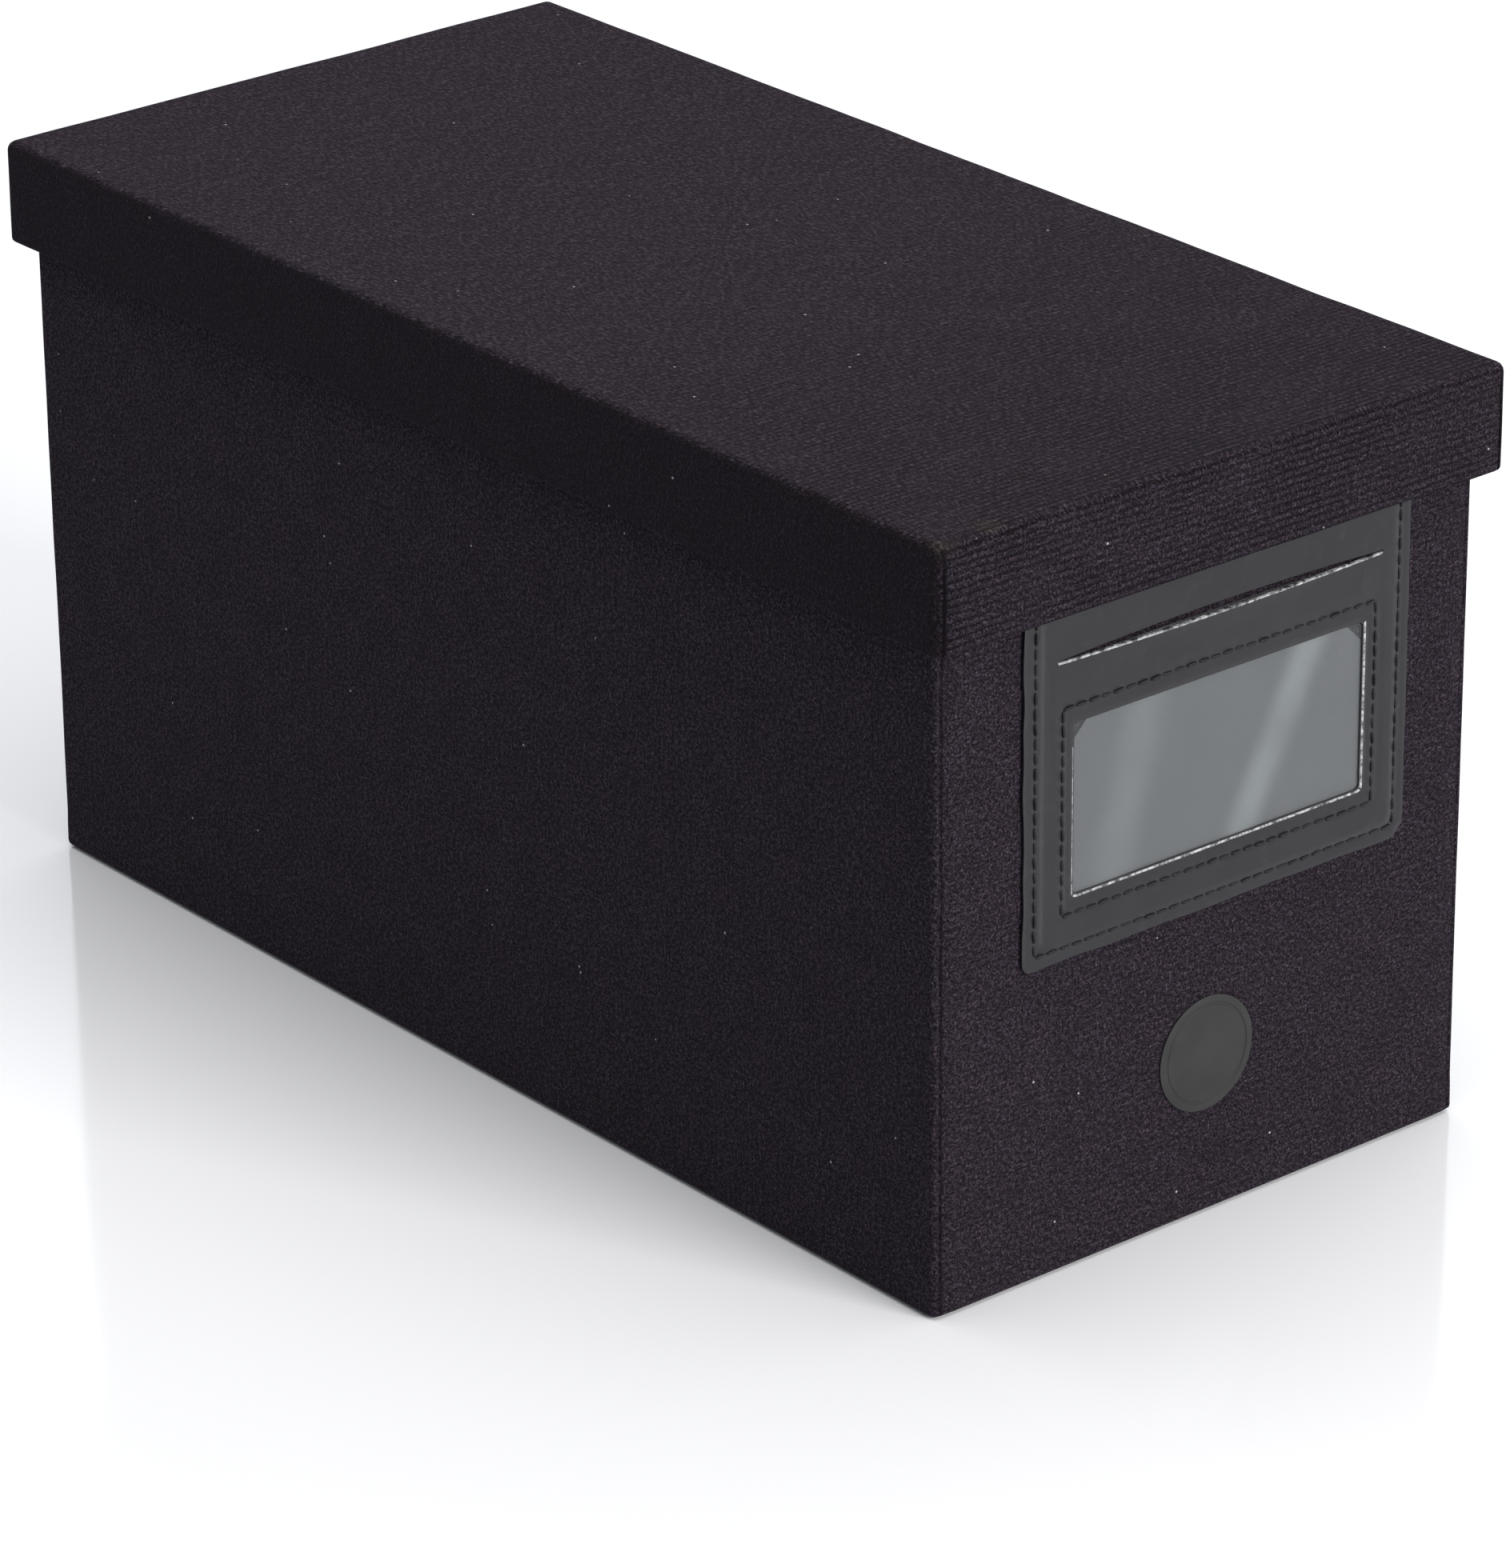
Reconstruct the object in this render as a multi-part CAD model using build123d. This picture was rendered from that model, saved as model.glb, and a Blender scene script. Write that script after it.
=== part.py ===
"""A fabric-covered archival storage box with a lift-off lid and a sewn label pocket.

Millimetres. +Z is up, +X runs across the front from left to right, and +Y runs from the
front, where the label pocket is, to the back. The origin is the centre of the base's
footprint, on the surface that the box stands on.
"""

import os

from build123d import *

# ---------------------------------------------------------------- driving dimensions
# The base, measured over its fabric. The lid follows from it.
base_width = 156.8
base_length = 327.4
base_height = 180.0

# Sheet materials, by thickness.
fabric = 0.8
base_board = 2.5
lid_board = 2.0
lining = 0.4
floor_card = 1.0
bottom_sheet = 0.4
corner_tape = 0.2

# How far the fabric is folded over each raw edge of the boards.
base_turn_in = 18.0
base_turn_under = 15.0
lid_turn_in = 14.0
lining_lap = 6.0

# Rounded edges, over the fabric.
base_corner_radius = 2.4
base_rim_radius = 1.2
base_foot_radius = 1.6
lid_corner_radius = 3.2
lid_edge_radius = 2.6
lid_hem_radius = 1.2

# The front panel of fabric stops this far in from each front corner, with an open seam.
seam_inset = 1.7
seam_gap = 0.3

# The lid, and the room it leaves beside the base, in front of the label pocket and on the rim.
lid_rim_height = 25.4
lid_side_clearance = 0.5
lid_label_clearance = 0.2
lid_seat_gap = 0.2

# Loose fits and the paper tape in the corners.
floor_card_clearance = 0.2
bottom_sheet_inset = 4.0
corner_tape_leg = 12.0

# The label pocket, on the front. Heights are above the surface the box stands on.
label_width = 112.6
label_bottom = 75.8
label_top = 161.5
label_offset = 2.0
label_corner_radius = 2.5
leather = 0.9
pocket_depth = 0.8
pocket_foot_inset = 4.5
pocket_crown_inset = 8.0

window_width = 84.6
window_bottom = 91.0
window_height = 40.0
window_corner_radius = 2.5
slot_width = 93.6
slot_middle = 146.4
slot_height = 2.0

# The clear film behind the window and the card behind the film.
film = 0.3
film_side_margin = 1.4
film_foot_margin = 2.0
film_lip = 0.5
film_clearance = 0.05
card = 0.3
card_side_margin = 2.2
card_head_margin = 1.8
card_clip = 8.5
card_clearance = 0.08
card_seat_gap = 0.3

# Stitching. Each row lies in a pressed channel.
stitch_pitch = 3.5
stitch_length = 2.7
thread_radius = 0.3
stitch_clearance = 0.02
channel_width = 0.9
channel_depth = 0.4
outer_seam_inset = 3.2
inner_seam_side = 3.5
inner_seam_height = 4.2

# The plain round patch pressed onto the front, below the label pocket.
patch_diameter = 27.5
patch_thickness = 0.3
patch_middle = 39.8
patch_offset = 0.5

# ---------------------------------------------------------------- sizes that follow
base_foot = bottom_sheet + fabric
base_board_top = base_height - fabric
base_core_width = base_width - 2 * fabric
base_core_length = base_length - 2 * fabric
base_inner_width = base_core_width - 2 * base_board
base_inner_length = base_core_length - 2 * base_board
base_mouth_width = base_inner_width - 2 * fabric
base_mouth_length = base_inner_length - 2 * fabric
floor_top = base_foot + base_board
turn_in_edge = base_board_top - base_turn_in

lid_wall = fabric + lid_board + fabric
lid_end_clearance = leather + pocket_depth + lid_label_clearance
lid_width = base_width + 2 * (lid_side_clearance + lid_wall)
lid_length = base_length + 2 * (lid_end_clearance + lid_wall)
lid_ceiling = base_height + lid_seat_gap
lid_board_bottom = lid_ceiling + lining
lid_board_top = lid_board_bottom + lid_board
overall_height = lid_board_top + fabric
lid_hem = overall_height - lid_rim_height
lid_rim_bottom = lid_hem + fabric
lid_core_width = lid_width - 2 * fabric
lid_core_length = lid_length - 2 * fabric
lid_inner_width = lid_core_width - 2 * lid_board
lid_inner_length = lid_core_length - 2 * lid_board
lid_mouth_width = lid_inner_width - 2 * fabric
lid_mouth_length = lid_inner_length - 2 * fabric
lid_turn_in_edge = lid_rim_bottom + lid_turn_in

label_height = label_top - label_bottom
label_middle = (label_top + label_bottom) / 2
window_middle = window_bottom + window_height / 2
inner_seam_width = window_width + 2 * inner_seam_side
inner_seam_tall = window_height + 2 * inner_seam_height
pocket_slope = (pocket_crown_inset - pocket_foot_inset) / pocket_depth
card_seat = label_bottom + pocket_foot_inset + pocket_slope * (card_clearance + card)
card_bottom = card_seat + card_seat_gap
card_width = window_width + 2 * card_side_margin
card_height = window_bottom + window_height + card_head_margin - card_bottom

# Cutting tools run past what they cut by this much.
overrun = 5.0


# ---------------------------------------------------------------- shared shapes
def slab(width, length, bottom, top):
    """A rectangular block centred on the Z axis, from one height to another."""
    return Pos(0, 0, (bottom + top) / 2) * Box(width, length, top - bottom)


def block(x_range, y_range, z_range):
    """A rectangular block between two corners."""
    low = [r[0] for r in (x_range, y_range, z_range)]
    high = [r[1] for r in (x_range, y_range, z_range)]
    middle = [(a + b) / 2 for a, b in zip(low, high)]
    return Pos(*middle) * Box(*[b - a for a, b in zip(low, high)])


def rounded_slab(width, length, bottom, top, radius):
    """A slab with its four upright edges rounded."""
    solid = slab(width, length, bottom, top)
    return fillet(solid.edges().filter_by(Axis.Z), radius)


def tube(width, length, wall, bottom, top):
    """A rectangular tube, sized over its outside."""
    inside = slab(width - 2 * wall, length - 2 * wall, bottom - overrun, top + overrun)
    return slab(width, length, bottom, top) - inside


def corner_strips(width, length, wall, bottom, top):
    """Four L-shaped strips of tape, one in each inside corner of a rectangle."""
    ring = tube(width, length, wall, bottom, top)
    strips = []
    for side in (-1, 1):
        for end in (-1, 1):
            x = side * (width / 2 - corner_tape_leg / 2)
            y = end * (length / 2 - corner_tape_leg / 2)
            reach = Pos(x, y, (bottom + top) / 2) * Box(
                corner_tape_leg, corner_tape_leg, top - bottom
            )
            strips.append(ring & reach)
    return Compound(children=[s.solid() for s in strips])


def wall_boards(width, length, board, bottom, top, core):
    """Four upright boards: the long sides run full length and the ends fit between them."""
    boards = {}
    for name, side in (("left", -1), ("right", 1)):
        x = side * (width / 2 - board / 2)
        boards[name] = core & (
            Pos(x, 0, (bottom + top) / 2) * Box(board, length, top - bottom)
        )
    for name, end in (("front", -1), ("back", 1)):
        y = end * (length / 2 - board / 2)
        boards[name] = core & (
            Pos(0, y, (bottom + top) / 2) * Box(width - 2 * board, board, top - bottom)
        )
    return boards


# ---------------------------------------------------------------- the base
def make_base_core():
    """The space inside the outer fabric, with the rounding that shows in the fabric."""
    return rounded_slab(
        base_core_width,
        base_core_length,
        base_foot,
        base_board_top,
        base_corner_radius - fabric,
    )


def make_base_boards():
    """The floor board and the four wall boards."""
    walls = wall_boards(
        base_core_width,
        base_core_length,
        base_board,
        base_foot,
        base_board_top,
        make_base_core(),
    )
    boards = {f"base_{side}_board": solid for side, solid in walls.items()}
    boards["base_floor_board"] = slab(
        base_inner_width, base_inner_length, base_foot, floor_top
    )
    return boards


def make_base_covers():
    """The fabric: one wrap round the sides and back, and one panel over the front.

    Both are folded over the rim and down the inside, and under the foot.
    """
    outside = rounded_slab(
        base_width, base_length, bottom_sheet, base_height, base_corner_radius
    )
    outside = fillet(outside.faces().sort_by(Axis.Z)[0].edges(), base_foot_radius)
    mouth = slab(
        base_mouth_width, base_mouth_length, base_board_top - 1, base_height + overrun
    )
    foot_opening = slab(
        base_width - 2 * base_turn_under,
        base_length - 2 * base_turn_under,
        bottom_sheet - overrun,
        base_foot + 1,
    )
    skirt = tube(
        base_inner_width, base_inner_length, fabric, turn_in_edge, base_board_top
    )
    cover = outside - make_base_core() - mouth - foot_opening + skirt
    cover = fillet(cover.faces().sort_by(Axis.Z)[-1].edges(), base_rim_radius)

    seam_x = base_width / 2 - seam_inset
    front = -base_length / 2
    mouth_front = -base_mouth_length / 2
    upright = block(
        (-seam_x, seam_x),
        (front - overrun, mouth_front),
        (bottom_sheet - overrun, base_height + overrun),
    )
    underneath = block(
        (-seam_x, seam_x),
        (front - overrun, front + base_turn_under),
        (bottom_sheet - overrun, base_foot),
    )
    front_zone = upright + underneath
    seams = [
        block(
            sorted((side * seam_x, side * (seam_x + seam_gap))),
            (front - overrun, mouth_front),
            (bottom_sheet - overrun, base_height + overrun),
        )
        for side in (-1, 1)
    ]
    return {
        "base_front_cover": cover & front_zone,
        "base_wrap_cover": cover - front_zone - seams[0] - seams[1],
    }


def make_base_linings():
    """The wall lining, which laps over the turned-in fabric, and the floor card."""
    lower = tube(
        base_inner_width - 2 * corner_tape,
        base_inner_length - 2 * corner_tape,
        lining,
        floor_top,
        turn_in_edge,
    )
    step_wall = fabric - corner_tape + lining
    step = tube(
        base_inner_width - 2 * corner_tape,
        base_inner_length - 2 * corner_tape,
        step_wall,
        turn_in_edge - lining,
        turn_in_edge,
    )
    upper = tube(
        base_mouth_width,
        base_mouth_length,
        lining,
        turn_in_edge - lining,
        turn_in_edge + lining_lap,
    )
    card_loss = 2 * (corner_tape + lining + floor_card_clearance)
    return {
        "base_wall_lining": lower + step + upper,
        "base_floor_card": slab(
            base_inner_width - card_loss,
            base_inner_length - card_loss,
            floor_top,
            floor_top + floor_card,
        ),
        "base_bottom_sheet": slab(
            base_width - 2 * bottom_sheet_inset,
            base_length - 2 * bottom_sheet_inset,
            0,
            bottom_sheet,
        ),
        "base_corner_tapes": corner_strips(
            base_inner_width,
            base_inner_length,
            corner_tape,
            floor_top,
            turn_in_edge - lining,
        ),
    }


# ---------------------------------------------------------------- the label pocket
def front_plane(height, stand_off=0.0, across=label_offset):
    """A plane parallel to the base's front, with its own X across and its Y upwards."""
    return Plane(
        origin=(across, -base_length / 2 - stand_off, height),
        x_dir=(1, 0, 0),
        z_dir=(0, -1, 0),
    )


def label_outline(inset, stand_off):
    """The pocket's outline, drawn in from its edge, at a distance from the front."""
    radius = max(label_corner_radius - inset / 2, 0.5)
    return front_plane(label_middle, stand_off) * RectangleRounded(
        label_width - 2 * inset, label_height - 2 * inset, radius
    )


def seam_channel(width, height, middle, surface):
    """A shallow pressed groove round a rectangle, in a surface at that stand-off."""
    wide = RectangleRounded(width + channel_width, height + channel_width, 0.6)
    narrow = Rectangle(width - channel_width, height - channel_width)
    return extrude(
        front_plane(middle, surface - channel_depth) * (wide - narrow),
        channel_depth + overrun,
    )


def stitch_row(width, height, middle, surface):
    """Separate stitches round a rectangle, lying in its channel."""
    stand_off = surface - channel_depth + stitch_clearance + thread_radius
    plane = front_plane(middle, stand_off)
    stitches = []
    for span, reach, turn in ((width, height / 2, 0), (height, width / 2, 90)):
        count = round(span / stitch_pitch)
        step = span / count
        for side in (-1, 1):
            for number in range(count):
                along = (number + 0.5) * step - span / 2
                x, y = (along, side * reach) if turn == 0 else (side * reach, along)
                thread = Cylinder(thread_radius, stitch_length, rotation=(0, 90, 0))
                stitches.append(plane * Pos(x, y, 0) * Rot(0, 0, turn) * thread)
    return Compound(children=[s.solid() for s in stitches])


def make_label_pocket():
    """The sewn leather frame, its clear window, its card, its stitching and the patch."""
    crown = leather + pocket_depth
    border = extrude(label_outline(0, 0), leather)
    raised = loft(
        [
            label_outline(pocket_foot_inset, leather),
            label_outline(pocket_crown_inset, crown),
        ]
    )
    hollow = loft(
        [
            label_outline(pocket_foot_inset, 0),
            label_outline(pocket_crown_inset, pocket_depth),
        ]
    )
    window = extrude(
        front_plane(window_middle, -overrun)
        * RectangleRounded(window_width, window_height, window_corner_radius),
        2 * overrun + crown,
    )
    slot = extrude(
        front_plane(slot_middle, pocket_depth - 0.1)
        * SlotOverall(slot_width, slot_height),
        overrun,
    )
    outer_size = (
        label_width - 2 * outer_seam_inset,
        label_height - 2 * outer_seam_inset,
        label_middle,
        leather,
    )
    inner_size = (inner_seam_width, inner_seam_tall, window_middle, crown)
    frame = border + raised - hollow - window - slot
    frame = frame - seam_channel(*outer_size) - seam_channel(*inner_size)

    film_width = inner_seam_width + 2 * film_side_margin
    film_bottom = window_bottom - inner_seam_height - film_foot_margin
    film_top = slot_middle - slot_height / 2 + film_lip
    film_sheet = extrude(
        front_plane(
            (film_bottom + film_top) / 2, pocket_depth - film_clearance - film
        )
        * Rectangle(film_width, film_top - film_bottom),
        film,
    )

    half = card_width / 2
    card_outline = Polyline(
        (-half, 0),
        (half, 0),
        (half, card_height - card_clip),
        (half - card_clip, card_height),
        (card_clip - half, card_height),
        (-half, card_height - card_clip),
        close=True,
    )
    label_card = extrude(
        front_plane(card_bottom, card_clearance) * make_face(card_outline), card
    )

    patch = extrude(
        front_plane(patch_middle, 0, patch_offset) * Circle(patch_diameter / 2),
        patch_thickness,
    )
    return {
        "label_frame": frame,
        "label_window_film": film_sheet,
        "label_card": label_card,
        "label_outer_stitching": stitch_row(*outer_size),
        "label_inner_stitching": stitch_row(*inner_size),
        "front_patch": patch,
    }


# ---------------------------------------------------------------- the lid
def make_lid_core():
    """The space that the lid's boards fill, with the rounding that shows in the fabric."""
    core = rounded_slab(
        lid_core_width,
        lid_core_length,
        lid_rim_bottom,
        lid_board_top,
        lid_corner_radius - fabric,
    )
    return fillet(core.faces().sort_by(Axis.Z)[-1].edges(), lid_edge_radius - fabric)


def make_lid_boards():
    """The top board and the four rim boards under its edges."""
    core = make_lid_core()
    rims = wall_boards(
        lid_core_width,
        lid_core_length,
        lid_board,
        lid_rim_bottom,
        lid_board_bottom,
        core,
    )
    boards = {f"lid_{side}_rim_board": solid for side, solid in rims.items()}
    boards["lid_top_board"] = core & slab(
        lid_core_width, lid_core_length, lid_board_bottom, lid_board_top
    )
    return boards


def make_lid_cover():
    """The fabric over the lid, folded under the rim and up the inside."""
    outside = rounded_slab(
        lid_width, lid_length, lid_hem, overall_height, lid_corner_radius
    )
    outside = fillet(outside.faces().sort_by(Axis.Z)[-1].edges(), lid_edge_radius)
    mouth = slab(
        lid_mouth_width, lid_mouth_length, lid_hem - overrun, lid_rim_bottom + 1
    )
    skirt = tube(
        lid_inner_width, lid_inner_length, fabric, lid_rim_bottom, lid_turn_in_edge
    )
    cover = outside - make_lid_core() - mouth + skirt
    return fillet(cover.faces().sort_by(Axis.Z)[0].edges(), lid_hem_radius)


def make_lid_linings():
    """The sheet under the top board, the strip inside the rim, and the corner tapes."""
    ring_width = lid_inner_width - 2 * corner_tape
    ring_length = lid_inner_length - 2 * corner_tape
    return {
        "lid_top_lining": slab(
            ring_width - 2 * lining,
            ring_length - 2 * lining,
            lid_ceiling,
            lid_board_bottom,
        ),
        "lid_rim_lining": tube(
            ring_width, ring_length, lining, lid_turn_in_edge, lid_board_bottom
        ),
        "lid_corner_tapes": corner_strips(
            lid_inner_width,
            lid_inner_length,
            corner_tape,
            lid_turn_in_edge,
            lid_board_bottom,
        ),
    }


# ---------------------------------------------------------------- everything, written out
pieces = {
    **make_base_boards(),
    **make_base_covers(),
    **make_base_linings(),
    **make_label_pocket(),
    **make_lid_boards(),
    "lid_cover": make_lid_cover(),
    **make_lid_linings(),
}

os.makedirs("parts", exist_ok=True)
for node, piece in pieces.items():
    export_step(piece, f"parts/{node}.step")
print(f"{len(pieces)} nodes, lid {lid_width:.1f} x {lid_length:.1f}, {overall_height:.1f} high")
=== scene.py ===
# %% [markdown]
# # A fabric-covered archival box
# This file dresses the plain construction model of an archival box: a long board box covered
# with near-black velour, a lift-off lid, and an imitation-leather label pocket sewn to its
# front. The construction model gives every place and size, and this file gives the cloth,
# leather, thread and film that the eye meets. Each step first says what the piece is on the
# real box and why it is made the way it is.

# %% Load the construction model
import math
import random

import bpy
from mathutils import Matrix, Vector, noise


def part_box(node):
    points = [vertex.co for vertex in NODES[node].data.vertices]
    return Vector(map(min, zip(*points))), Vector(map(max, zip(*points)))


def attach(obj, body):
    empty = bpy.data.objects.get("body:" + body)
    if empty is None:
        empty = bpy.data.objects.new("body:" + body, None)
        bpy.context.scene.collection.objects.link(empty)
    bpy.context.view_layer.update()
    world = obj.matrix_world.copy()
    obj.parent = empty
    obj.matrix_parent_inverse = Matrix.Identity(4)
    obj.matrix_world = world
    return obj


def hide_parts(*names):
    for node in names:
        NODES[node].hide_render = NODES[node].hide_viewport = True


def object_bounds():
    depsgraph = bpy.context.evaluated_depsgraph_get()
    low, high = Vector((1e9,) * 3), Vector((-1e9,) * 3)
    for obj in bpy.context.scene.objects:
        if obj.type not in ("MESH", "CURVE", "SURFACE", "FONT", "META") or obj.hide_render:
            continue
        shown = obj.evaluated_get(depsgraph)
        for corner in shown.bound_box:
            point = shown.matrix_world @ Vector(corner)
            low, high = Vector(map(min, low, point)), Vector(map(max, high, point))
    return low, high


MM = 0.001
noise.seed_set(7)  # or noise_vector would give something else each run
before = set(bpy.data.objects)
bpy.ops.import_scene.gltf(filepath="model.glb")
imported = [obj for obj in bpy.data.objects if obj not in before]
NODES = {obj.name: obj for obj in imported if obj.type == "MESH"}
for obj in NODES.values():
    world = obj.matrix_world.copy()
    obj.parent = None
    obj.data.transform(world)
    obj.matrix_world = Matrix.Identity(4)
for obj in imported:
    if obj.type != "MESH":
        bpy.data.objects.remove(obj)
CAD_BOX = [list(corner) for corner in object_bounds()]
LOW, HIGH = (Vector(corner) for corner in CAD_BOX)
MIDDLE = (LOW + HIGH) / 2
print("construction model:", CAD_BOX)

# %% [markdown]
# ## The camera
# A long lens from well back keeps the box's edges almost parallel, as in a catalogue picture.
# The camera is placed by its direction and distance from a point near the middle of the box,
# so the numbers read simply: so far round, so far up, so far away.

# %% Place the camera
VIEW_AZIMUTH = math.radians(-39.47)
VIEW_ELEVATION = math.radians(24.14)
VIEW_ROLL = math.radians(-0.53)
VIEW_DISTANCE = 1.7196
VIEW_LENS = 169.67
AIM = MIDDLE + Vector((-5.53, -16.05, -35.50)) * MM


def place_camera():
    """Adds the camera, turned towards AIM, with its small roll."""
    back = Vector(
        (
            math.sin(VIEW_AZIMUTH) * math.cos(VIEW_ELEVATION),
            -math.cos(VIEW_AZIMUTH) * math.cos(VIEW_ELEVATION),
            math.sin(VIEW_ELEVATION),
        )
    )
    bpy.ops.object.camera_add(location=AIM + back * VIEW_DISTANCE)
    camera = bpy.context.object
    camera.data.sensor_width = 36
    camera.data.lens = VIEW_LENS
    camera.rotation_mode = "QUATERNION"
    level = (-back).to_track_quat("-Z", "Y")
    camera.rotation_quaternion = level @ Matrix.Rotation(VIEW_ROLL, 3, "Z").to_quaternion()
    camera.data.clip_start = 0.05
    camera.data.clip_end = 100
    bpy.context.scene.camera = camera
    return camera


camera = place_camera()
print("camera at", tuple(round(value, 3) for value in camera.location))

# %% [markdown]
# ## Small helpers for modelling
# Blender's operators act on whatever is selected, so each helper first puts the selection in
# order. `pick` chooses vertices, edges or faces by where they are, as a hand with a mouse
# would, and leaves the piece in edit mode, ready for the next operator.

# %% Helpers: select, add, pick and finish
DOMAINS = {
    "VERT": (True, False, False),
    "EDGE": (False, True, False),
    "FACE": (False, False, True),
}


def wake(*pieces):
    """Makes these pieces the only selected ones, and the first of them active."""
    if bpy.context.object and bpy.context.object.mode != "OBJECT":
        bpy.ops.object.mode_set(mode="OBJECT")
    bpy.ops.object.select_all(action="DESELECT")
    for piece in pieces:
        piece.select_set(True)
    bpy.context.view_layer.objects.active = pieces[0]


def add_block(name, low, high):
    """Adds a block between two corners, with its place in its mesh."""
    low, high = Vector(low), Vector(high)
    wake(camera)
    bpy.ops.mesh.primitive_cube_add(size=1, location=(low + high) / 2)
    block = bpy.context.object
    block.name = name
    block.scale = high - low
    bpy.ops.object.transform_apply(location=True, rotation=True, scale=True)
    return block


def pick(piece, domain, test):
    """Selects what passes a test: test(place), test(end, end) or test(middle, normal)."""
    wake(piece)
    mesh = piece.data
    for items in (mesh.vertices, mesh.edges, mesh.polygons):
        items.foreach_set("select", [False] * len(items))
    place = [vertex.co.copy() for vertex in mesh.vertices]
    if domain == "VERT":
        for vertex in mesh.vertices:
            vertex.select = test(vertex.co)
    elif domain == "EDGE":
        for edge in mesh.edges:
            edge.select = test(place[edge.vertices[0]], place[edge.vertices[1]])
    else:
        for face in mesh.polygons:
            face.select = test(face.center, face.normal)
    bpy.context.tool_settings.mesh_select_mode = DOMAINS[domain]
    bpy.ops.object.mode_set(mode="EDIT")


def near(a, b, tolerance=0.02 * MM):
    """True where two lengths are the same."""
    return abs(a - b) < tolerance


def reach_along(a, b, axis):
    """How far an edge reaches along an axis, or 0 where it leans away from it."""
    reach = abs(a[axis] - b[axis])
    return reach if (a - b).length < 1.03 * reach else 0.0


def cut_along(piece, axis, size):
    """Divides the long edges along an axis, evenly, into lengths of about size."""
    for _ in range(4):
        places = [vertex.co for vertex in piece.data.vertices]
        ends = ([places[k] for k in edge.vertices] for edge in piece.data.edges)
        longest = max(reach_along(a, b, axis) for a, b in ends)
        if longest < 2 * size:
            return
        pick(piece, "EDGE", lambda a, b: reach_along(a, b, axis) > 0.6 * longest)
        bpy.ops.mesh.subdivide(number_cuts=round(longest / size) - 1)
        bpy.ops.object.mode_set(mode="OBJECT")


def thicken(piece, thickness, rim_material=0):
    """Gives a sheet its thickness, behind the face that shows."""
    wake(piece)
    solidify = piece.modifiers.new("thickness", "SOLIDIFY")
    solidify.thickness = thickness
    solidify.offset = -1
    solidify.material_offset_rim = rim_material
    bpy.ops.object.modifier_apply(modifier=solidify.name)


def smooth(piece, angle):
    """Shades a piece smooth, except at edges sharper than an angle in degrees."""
    wake(piece)
    bpy.ops.object.shade_smooth_by_angle(angle=math.radians(angle))


def finish_piece(piece, material, body, node):
    """Gives a piece its material and its body, and hides the construction node that it stands for.
    """
    if not piece.data.materials:
        piece.data.materials.append(material)
    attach(piece, body)
    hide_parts(node)
    print(piece.name, len(piece.data.polygons), "faces")


# %% [markdown]
# ## Small helpers for materials
# A finish is a tree of shader nodes. These helpers add a node with its settings in one call,
# so that a material reads from top to bottom like a recipe.

# %% Helpers: nodes, groups and materials
def add_node(tree, kind, inputs=None, **settings):
    """Adds a shader node, sets it up, and fills or links its inputs."""
    node = tree.nodes.new(kind)
    for name, value in settings.items():
        setattr(node, name, value)
    for name, value in (inputs or {}).items():
        if isinstance(value, bpy.types.NodeSocket):
            tree.links.new(value, node.inputs[name])
        else:
            node.inputs[name].default_value = value
    return node


def calc(tree, operation, a, b=0.0, c=0.0):
    """A Math node's result."""
    node = add_node(tree, "ShaderNodeMath", {0: a, 1: b, 2: c}, operation=operation)
    return node.outputs[0]


def times(tree, a, b):
    """Two values multiplied."""
    return calc(tree, "MULTIPLY", a, b)


def remap(tree, value, low, high, to_low=0.0, to_high=1.0):
    """Stretches values from one range onto another, and stops at its ends."""
    ranges = {"From Min": low, "From Max": high, "To Min": to_low, "To Max": to_high}
    return add_node(tree, "ShaderNodeMapRange", {"Value": value, **ranges}).outputs["Result"]


def fine_noise(tree, vector, size, detail=2.0, roughness=0.5):
    """Soft noise whose lumps are about size metres across."""
    inputs = {"Vector": vector, "Scale": 1 / size, "Detail": detail, "Roughness": roughness}
    return add_node(tree, "ShaderNodeTexNoise", inputs).outputs["Fac"]


def mix_colour(tree, factor, a, b):
    """Two colours mixed by a factor. A plain colour has three or four numbers."""
    node = add_node(tree, "ShaderNodeMix", data_type="RGBA")
    for name, value in (("Factor_Float", factor), ("A_Color", a), ("B_Color", b)):
        socket = next(s for s in node.inputs if s.identifier == name)
        if isinstance(value, bpy.types.NodeSocket):
            tree.links.new(value, socket)
        else:
            socket.default_value = value if isinstance(value, (int, float)) else (*value[:3], 1)
    return next(s for s in node.outputs if s.identifier == "Result_Color")


def new_group(name, inputs, outputs):
    """An empty node group with named sockets: its tree, its inputs and its output node."""
    tree = bpy.data.node_groups.new(name, "ShaderNodeTree")
    for label, kind, value in inputs:
        socket = tree.interface.new_socket(label, in_out="INPUT", socket_type="NodeSocket" + kind)
        if value is not None:
            socket.default_value = value
    for label in outputs:
        tree.interface.new_socket(label, in_out="OUTPUT", socket_type="NodeSocketFloat")
    source = tree.nodes.new("NodeGroupInput")
    return tree, source.outputs, tree.nodes.new("NodeGroupOutput").inputs


def place_group(tree, group, values):
    """Adds a group node, fills its sockets and gives its outputs."""
    return add_node(tree, "ShaderNodeGroup", values, node_tree=group).outputs


def own_place(tree):
    """Where a point lies on its own piece, for textures that aren't laid out flat."""
    return add_node(tree, "ShaderNodeTexCoord").outputs["Object"]


def new_material(name, **settings):
    """A material with one Principled shader: its tree, its shader and itself."""
    material = bpy.data.materials.new(name)
    material.use_nodes = True
    tree = material.node_tree
    shader = tree.nodes["Principled BSDF"]
    for label, value in settings.items():
        shader.inputs[label.replace("_", " ")].default_value = value
    return material, tree, shader


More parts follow.
